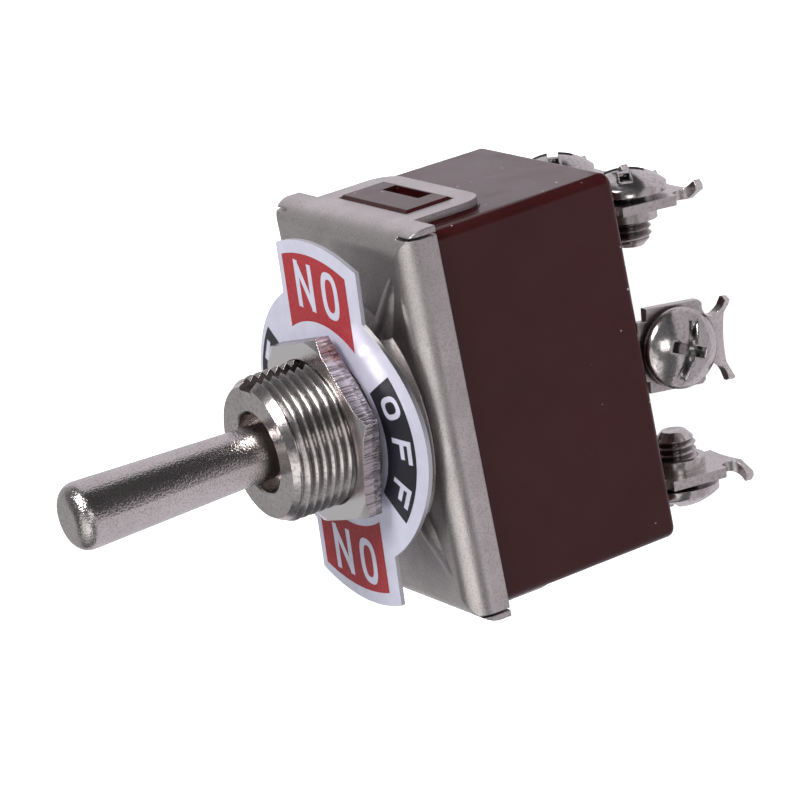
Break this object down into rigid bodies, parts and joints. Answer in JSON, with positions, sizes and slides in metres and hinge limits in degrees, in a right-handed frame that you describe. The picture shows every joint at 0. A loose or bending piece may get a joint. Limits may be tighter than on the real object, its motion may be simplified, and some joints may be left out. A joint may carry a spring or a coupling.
{
  "type": "momentary toggle switch",
  "caption": "Momentary toggle switch, sprung to a middle OFF place, with threaded bushing, nut, ON-OFF legend plate, steel cover, moulded housing and screw terminals.",
  "frame": {"origin": "middle of the cover's raised seat that presses on the back of the panel, on the bushing's axis", "axes": "+Z along the lever, away from the housing; the lever swings along Y, with the keyway at +Y"},
  "size_m": [0.0228, 0.0326, 0.0565],
  "materials": {
    "nickel_plate": "bright nickel plate",
    "lever_nickel": "nickel plate over a finely blasted surface",
    "terminal_nickel": "nickel plate on stamped brass",
    "screw_nickel": "nickel plate on steel",
    "legend_aluminium": "satin, printed in red and black",
    "brown_moulding": "glossy brown phenolic",
    "fibre_sheet": "hard fibre",
    "carrier_moulding": "plain moulding",
    "plunger_moulding": "plain moulding",
    "spring_steel": "drawn wire",
    "contact_brass": "plain brass",
    "contact_silver": "contact silver"
  },
  "bodies": {
    "base": {"housing": "brown_moulding", "cover_plate": "nickel_plate", "bushing": "nickel_plate", "legend_plate": "legend_aluminium", "insulator_sheet": "fibre_sheet", "fixed_contact_left_top": "contact_silver", "fixed_contact_left_bottom": "contact_silver", "terminal_left_top": "terminal_nickel", "terminal_left_middle": "terminal_nickel", "terminal_left_bottom": "terminal_nickel", "fixed_contact_right_top": "contact_silver", "fixed_contact_right_bottom": "contact_silver", "terminal_right_top": "terminal_nickel", "terminal_right_middle": "terminal_nickel", "terminal_right_bottom": "terminal_nickel"},
    "lever": {"toggle_lever": "lever_nickel", "lever_carrier": "carrier_moulding", "plunger_spring_left": "spring_steel", "plunger_spring_right": "spring_steel"},
    "nut": {"panel_nut": "nickel_plate"},
    "rocker_left": {"rocker_contact_left": "contact_brass", "moving_contact_left_top": "contact_silver", "moving_contact_left_bottom": "contact_silver"},
    "plunger_left_body": {"plunger_left": "plunger_moulding"},
    "screw_left_top_body": {"screw_left_top": "screw_nickel"},
    "screw_left_middle_body": {"screw_left_middle": "screw_nickel"},
    "screw_left_bottom_body": {"screw_left_bottom": "screw_nickel"},
    "rocker_right": {"rocker_contact_right": "contact_brass", "moving_contact_right_top": "contact_silver", "moving_contact_right_bottom": "contact_silver"},
    "plunger_right_body": {"plunger_right": "plunger_moulding"},
    "screw_right_top_body": {"screw_right_top": "screw_nickel"},
    "screw_right_middle_body": {"screw_right_middle": "screw_nickel"},
    "screw_right_bottom_body": {"screw_right_bottom": "screw_nickel"}
  },
  "joints": [
    {"name": "lever_throw", "type": "hinge", "parent": "base", "child": "lever", "pos_m": [0, 0, 0.0033], "axis": [1, 0, 0], "range_deg": [-10, 10], "stiffness_Nm_per_rad": 0.15},
    {"name": "nut_turn", "type": "hinge", "parent": "base", "child": "nut", "pos_m": [0, 0, 0.00215], "axis": [0, 0, 1], "continuous": true},
    {"name": "rocker_tilt_left", "type": "hinge", "parent": "base", "child": "rocker_left", "pos_m": [-0.0046, 0, -0.0154], "axis": [1, 0, 0], "range_deg": [-7, 7]},
    {"name": "plunger_slide_left", "type": "slide", "parent": "lever", "child": "plunger_left_body", "axis": [0, 0, 1], "range_m": [0, 0.0008], "stiffness_N_per_m": 100, "springref_m": -0.0008, "deforming": ["plunger_spring_left"]},
    {"name": "screw_turn_left_top", "type": "hinge", "parent": "base", "child": "screw_left_top_body", "pos_m": [-0.0054, 0.01171, -0.02579], "axis": [0, 0.9962, -0.0872], "continuous": true},
    {"name": "screw_turn_left_middle", "type": "hinge", "parent": "base", "child": "screw_left_middle_body", "pos_m": [-0.0088, -0.00046, -0.02577], "axis": [-1, 0, 0], "continuous": true},
    {"name": "screw_turn_left_bottom", "type": "hinge", "parent": "base", "child": "screw_left_bottom_body", "pos_m": [-0.0054, -0.01229, -0.02579], "axis": [0, -0.9962, 0.0872], "continuous": true},
    {"name": "rocker_tilt_right", "type": "hinge", "parent": "base", "child": "rocker_right", "pos_m": [0.0046, 0, -0.0154], "axis": [1, 0, 0], "range_deg": [-7, 7]},
    {"name": "plunger_slide_right", "type": "slide", "parent": "lever", "child": "plunger_right_body", "axis": [0, 0, 1], "range_m": [0, 0.0008], "stiffness_N_per_m": 100, "springref_m": -0.0008, "deforming": ["plunger_spring_right"]},
    {"name": "screw_turn_right_top", "type": "hinge", "parent": "base", "child": "screw_right_top_body", "pos_m": [0.0054, 0.01171, -0.02579], "axis": [0, 0.9962, -0.0872], "continuous": true},
    {"name": "screw_turn_right_middle", "type": "hinge", "parent": "base", "child": "screw_right_middle_body", "pos_m": [0.0088, -0.00046, -0.02577], "axis": [1, 0, 0], "continuous": true},
    {"name": "screw_turn_right_bottom", "type": "hinge", "parent": "base", "child": "screw_right_bottom_body", "pos_m": [0.0054, -0.01229, -0.02579], "axis": [0, -0.9962, 0.0872], "continuous": true}
  ],
  "couplings": [
    {"joint": "rocker_tilt_left", "follows": "lever_throw", "ratio": -0.7},
    {"joint": "rocker_tilt_right", "follows": "lever_throw", "ratio": -0.7}
  ]
}
